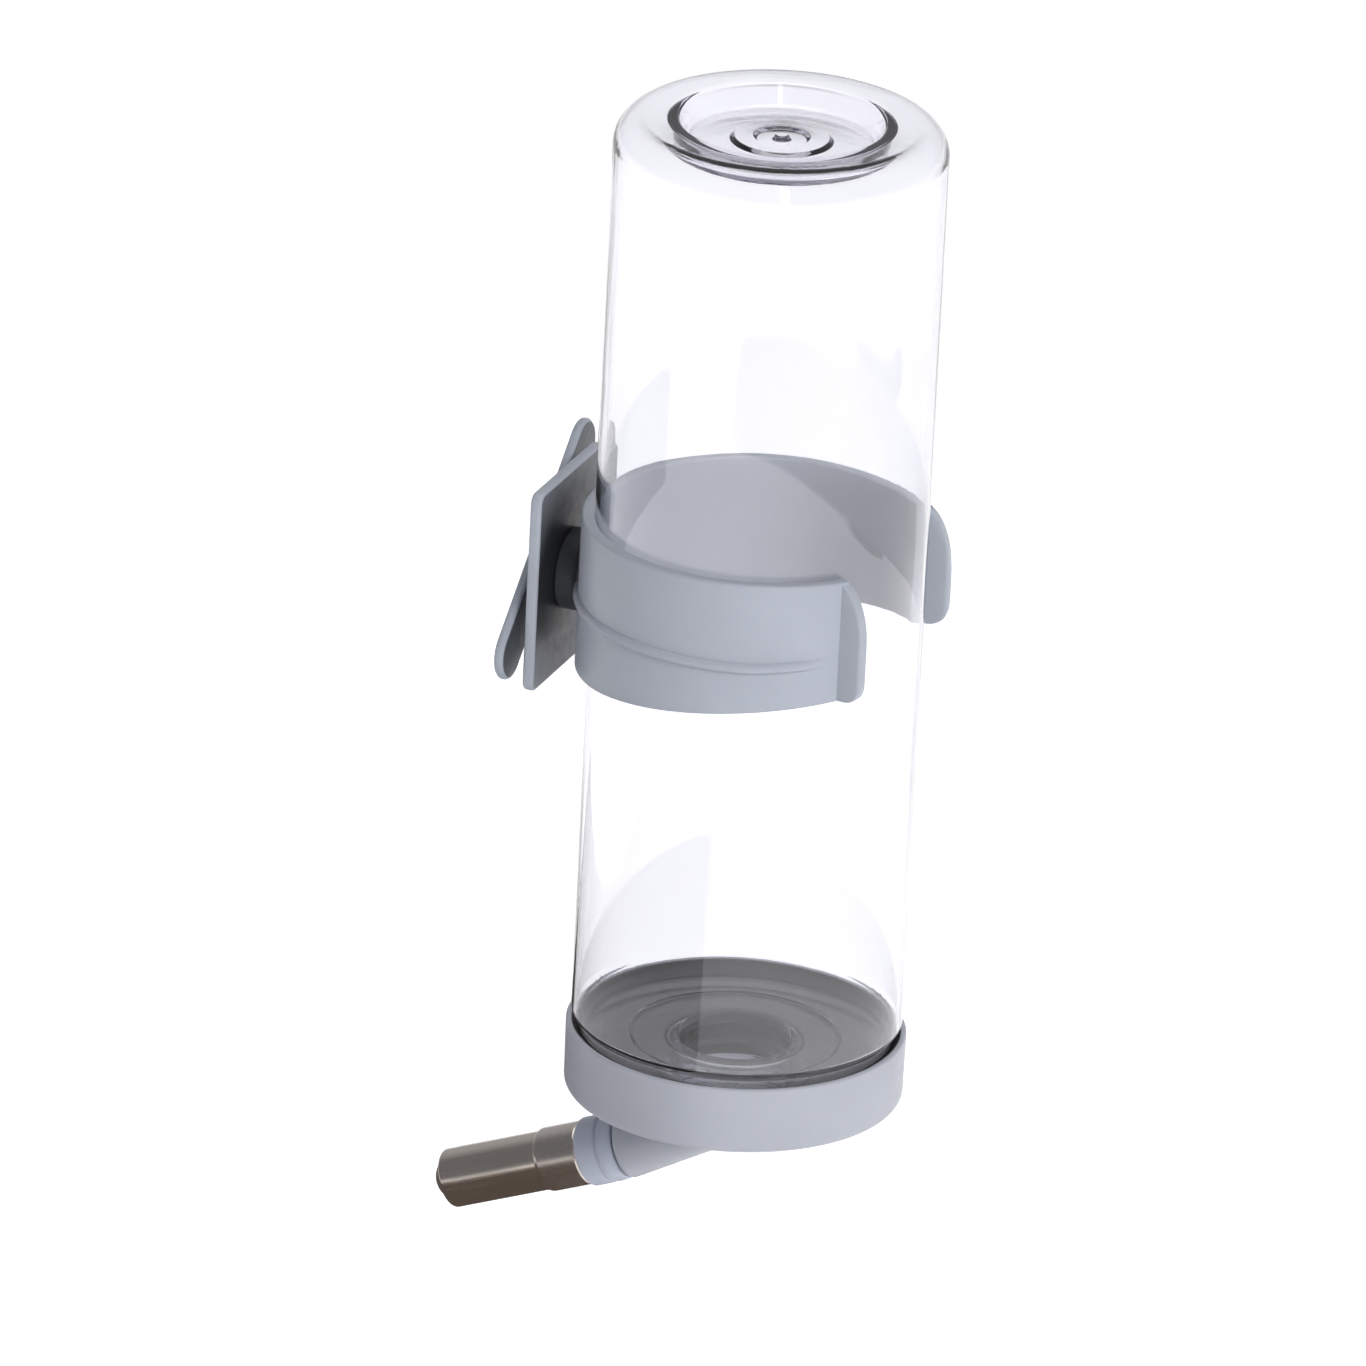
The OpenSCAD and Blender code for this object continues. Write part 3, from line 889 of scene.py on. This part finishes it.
def band_stations():
    """Places along the band from one flared end to the other, each with its inner point, its outward
    direction, its bottom and top, how far its thin end is inset and how much rib it has."""
    ear = []
    out = math.radians(FLARE_OUT)
    along, outward = Vector((math.cos(out), math.sin(out))), Vector((-math.sin(out), math.cos(out)))
    gap = math.radians(RING_GAP)
    root = Vector((math.cos(gap), math.sin(gap))) * RING_IN
    round_end = 1.0
    places = [FLARE_L - round_end + round_end * math.sin(math.pi / 2 * k / 6) for k in range(6, -1, -1)]
    places += [(FLARE_L - round_end) * k / 14 for k in range(13, 0, -1)]
    for u in places:
        into_end = max(0, u - (FLARE_L - round_end)) / round_end
        inset = EAR_THIN * (1 - math.sqrt(max(0, 1 - into_end**2)))
        w = u / FLARE_L
        top = RING_TOP - EAR_TOP_ROUND * (1 - math.sqrt(max(0, 1 - w * w)))
        below = max(0, u - (FLARE_L - EAR_FOOT_ROUND))
        foot = EAR_FOOT_ROUND - math.sqrt(max(0, EAR_FOOT_ROUND**2 - below**2))
        bottom = RING_TOP - RING_END_H + foot
        ear.append((root + along * u, outward, bottom, top, inset, 0))
    arm = []
    turn = 360 - 2 * RING_GAP
    steps = 112
    for k in range(steps + 1):
        degrees = RING_GAP + turn * k / steps
        a = math.radians(degrees)
        outward = Vector((math.cos(a), math.sin(a)))
        drop = (RING_END_H - RING_H) * (outward.x + 1) / (1 + math.cos(gap))
        bottom = RING_TOP - RING_H - drop
        from_flare = min(degrees, 360 - degrees) - RING_GAP
        rib = min(1, max(0, (from_flare - RIB_START) / RIB_FADE))
        arm.append((outward * RING_IN, outward, bottom, RING_TOP, 0, rib))
    far = [(Vector((p.x, -p.y)), Vector((n.x, -n.y)), b, t, i, r) for p, n, b, t, i, r in reversed(ear)]
    return ear + arm + far


def ring_band():
    points, faces = [], []
    stations = band_stations()
    for base, outward, bottom, top, inset, rib in stations:
        for off, z in band_section(inset, bottom, top, rib):
            p = base + outward * off
            points.append((p.x, p.y, z))
    n = len(points) // len(stations)
    for k in range(len(stations) - 1):
        for i in range(n):
            j = (i + 1) % n
            faces.append([k * n + i, k * n + j, (k + 1) * n + j, (k + 1) * n + i])
    faces += [list(range(n)), [len(points) - n + i for i in range(n)][::-1]]
    make("ring_band", points, faces, BOTTLE, "clip", ring_plastic, "clip_ring", sharp=50)


def ring_hub():
    """The hub, a tube from the plate to the band, spreading where it meets the band."""
    neck = AXIS_X - RING_R
    flange = HUB_R + 1.6
    hub = rounded(
        [
            (HUB_IN_R, PLATE_T, 0.1),
            (HUB_R, PLATE_T, 0.4),
            (HUB_R, neck - 0.3, 1.6),
            (flange, neck + 0.7),
            (flange, neck + 1.4),
            (HUB_IN_R, neck + 1.4),
        ],
        6,
    )
    # The hub is drawn in the near-black painted-shade colour.
    make("ring_hub", *turned(hub, 96), LOCK, "clip", hub_painted_shade, "clip_ring")


ring_band()
ring_hub()

# ---------------------------------------------------------------- plate and twist lock


def box_outline(width, height, radius, steps=8):
    """A rounded rectangle, counterclockwise, with some points along its straight sides."""
    w, h = width / 2, height / 2
    corners = [(-w, -h, radius), (w, -h, radius), (w, h, radius), (-w, h, radius)]
    return spaced(rounded(corners, steps), 4.0, True)


def holder_plate():
    width, height = plate_high.y - plate_low.y, plate_high.z - plate_low.z
    outline = box_outline(height, width, PLATE_CORNER_R)
    face = slab(outline, 0, PLATE_T, 0.7)
    plate = make("plate_face", *face, LOCK, "clip", plate_plastic, "holder_plate")
    bore(plate, SPINDLE_R + 0.06, -1, 4, LOCK)
    bore_r, out, start, end = WASHER_R + 0.2, HUB_IN_R - 0.05, PLATE_T - 0.2, COLLAR_END
    collar = rounded([(bore_r, start), (out, start), (out, end, 0.4), (bore_r, end, 0.3)], 4)
    make("plate_collar", *turned(collar, 96), LOCK, "clip", plate_plastic, "holder_plate")


def lock_bar():
    """The bar behind the wires, with a low finger rib on its back."""
    outer, inner = -WIRE_ROOM - BAR_T, -WIRE_ROOM
    outline = box_outline(BAR_L, BAR_W, BAR_CORNER_R, 10)
    outline = [(x - BAR_SHIFT, y) for x, y in outline]
    make("bar_plate", *slab(outline, outer, inner, 0.8), BAR, "lock", bar_plastic, "lock_bar")
    foot, top = GRIP_HALF, GRIP_HALF - 0.6
    grip = rounded([(-foot, 0.5), (-top, -GRIP_H, 0.8), (top, -GRIP_H, 0.8), (foot, 0.5)], 6)
    stand = Matrix.Rotation(math.radians(90), 4, "X")
    place = BAR @ Matrix.Translation((0, 0, outer * MM)) @ stand
    make("bar_grip", *slab(grip, -2, 2, 0.5), place, "lock", bar_plastic, "lock_bar")


def spindle():
    """The bar's spindle through the plate, and the washer snapped into its groove."""
    start, groove, groove_end, end = -WIRE_ROOM - 0.5, 3.3, 4.2, 5.6
    pin = rounded(
        [
            (0, start),
            (SPINDLE_R, start),
            (SPINDLE_R, groove, 0.1),
            (GROOVE_R, groove, 0.1),
            (GROOVE_R, groove_end, 0.1),
            (SPINDLE_R, groove_end, 0.1),
            (SPINDLE_R, end, 0.5),
            (0, end),
        ],
        4,
        False,
    )
    make("bar_spindle", *turned(pin, 80, False), BAR, "lock", bar_plastic, "lock_bar")
    hole, rim = GROOVE_R + 0.05, WASHER_R
    low, high = groove + 0.05, groove_end - 0.05
    washer = rounded([(hole, low, 0.15), (rim, low, 0.3), (rim, high, 0.3), (hole, high, 0.15)], 4)
    make("retainer_washer", *turned(washer, 80), BAR, "lock", spring_steel, "lock_retainer")


holder_plate()
lock_bar()
spindle()

# ---------------------------------------------------------------- studio


FLOOR_Z = -0.26
CARD_Z = -0.2


def stage_plane(name, corners, height, material):
    """A flat sheet of the studio, from (x, y) to (x, y), in metres."""
    (x0, y0), (x1, y1) = corners
    points = [(x, y, height) for x, y in ((x0, y0), (x1, y0), (x1, y1), (x0, y1))]
    mesh = bpy.data.meshes.new(name)
    mesh.from_pydata(points, [], [[0, 1, 2, 3]])
    mesh.materials.append(material)
    obj = bpy.data.objects.new(name, mesh)
    bpy.context.collection.objects.link(obj)
    obj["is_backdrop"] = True
    return obj


def floor():
    """White paper, lit evenly from below as a product table is."""
    s = Shader("floor_paper")
    s.link(s.ramp(s.noise(3.0, 4.0, 0.5), (0.86, 0.86, 0.87), (0.90, 0.90, 0.91)), "Base Color")
    s.set(Roughness=0.9, Emission_Color=(1.0, 1.0, 1.0, 1), Emission_Strength=0.52)
    stage_plane("floor", ((-40, -40), (40, 40)), FLOOR_Z, s.material)


def card():
    """A brown card under the spout, seen only in reflections, in place of the cage's tray."""
    s = Shader("brown_card")
    s.link(s.ramp(s.noise(8.0), (0.10, 0.075, 0.06), (0.14, 0.11, 0.09)), "Base Color")
    s.set(Roughness=0.8)
    obj = stage_plane("card", ((-0.32, -0.42), (0.02, 0.22)), CARD_Z, s.material)
    obj.visible_camera = obj.visible_diffuse = obj.visible_shadow = obj.visible_transmission = False


SOFTBOX_AIM = Vector((0.04, 0, 0))


def softbox(name, place, size, power, glossy=True, diffuse=True):
    """An area light aimed at the bottle: place and size in metres, power in watts."""
    light = bpy.data.lights.new(name, "AREA")
    light.shape = "RECTANGLE"
    light.size, light.size_y = size
    light.energy = power
    obj = bpy.data.objects.new(name, light)
    bpy.context.collection.objects.link(obj)
    obj.location = place
    obj.rotation_euler = (SOFTBOX_AIM - Vector(place)).to_track_quat("-Z", "Y").to_euler()
    obj.visible_transmission = False
    obj.visible_glossy = glossy
    obj.visible_diffuse = diffuse


def world():
    """A room that is light behind the bottle and dim in front of it, so that clear edges show dark."""
    made = bpy.data.worlds.new("studio")
    made.use_nodes = True
    nodes, links = made.node_tree.nodes, made.node_tree.links
    split = nodes.new("ShaderNodeSeparateXYZ")
    ramp = nodes.new("ShaderNodeValToRGB")
    links.new(nodes.new("ShaderNodeTexCoord").outputs["Generated"], split.inputs["Vector"])
    links.new(split.outputs["Y"], ramp.inputs["Fac"])
    links.new(ramp.outputs["Color"], nodes["Background"].inputs["Color"])
    first, last = ramp.color_ramp.elements
    first.position, first.color = 0.0, (0.42, 0.42, 0.45, 1)
    last.position, last.color = 0.5, (0.95, 0.96, 1.0, 1)
    nodes["Background"].inputs["Strength"].default_value = 0.5
    bpy.context.scene.world = made


CAMERA_AZIMUTH = 20.6
CAMERA_ELEVATION = 22.4
CAMERA_DISTANCE = 3.9
CAMERA_ROLL = 2.87
CAMERA_LENS = 520


def camera():
    """A long lens from the photograph's side, with the bottle's top leaning a little to the right."""
    data = bpy.data.cameras.new("camera")
    obj = bpy.data.objects.new("camera", data)
    bpy.context.collection.objects.link(obj)
    low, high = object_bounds()
    middle = (low + high) / 2
    a, e = math.radians(CAMERA_AZIMUTH), math.radians(CAMERA_ELEVATION)
    back = Vector((math.sin(a) * math.cos(e), -math.cos(a) * math.cos(e), math.sin(e)))
    aim = (-back).to_track_quat("-Z", "Y").to_matrix().to_4x4()
    roll = Matrix.Rotation(math.radians(CAMERA_ROLL), 4, "Z")
    obj.matrix_world = Matrix.Translation(middle + back * CAMERA_DISTANCE) @ aim @ roll
    data.lens = CAMERA_LENS
    data.clip_start, data.clip_end = 0.1, 200
    bpy.context.scene.camera = obj


floor()
card()
world()
softbox("key", (1.3, -1.0, 1.3), (1.3, 1.0), 38, glossy=False)
softbox("fill", (-1.8, -0.8, 0.9), (1.0, 1.4), 3, glossy=False)
softbox("top", (0.0, 0.5, 2.0), (1.6, 1.6), 4, glossy=False)
softbox("strip", (0.75, -1.5, 0.9), (0.16, 2.4), 5, diffuse=False)
softbox("gleam", (0.0, 0.3, 2.0), (1.6, 1.6), 16, diffuse=False)
camera()
bpy.context.scene.view_settings.view_transform = "Standard"
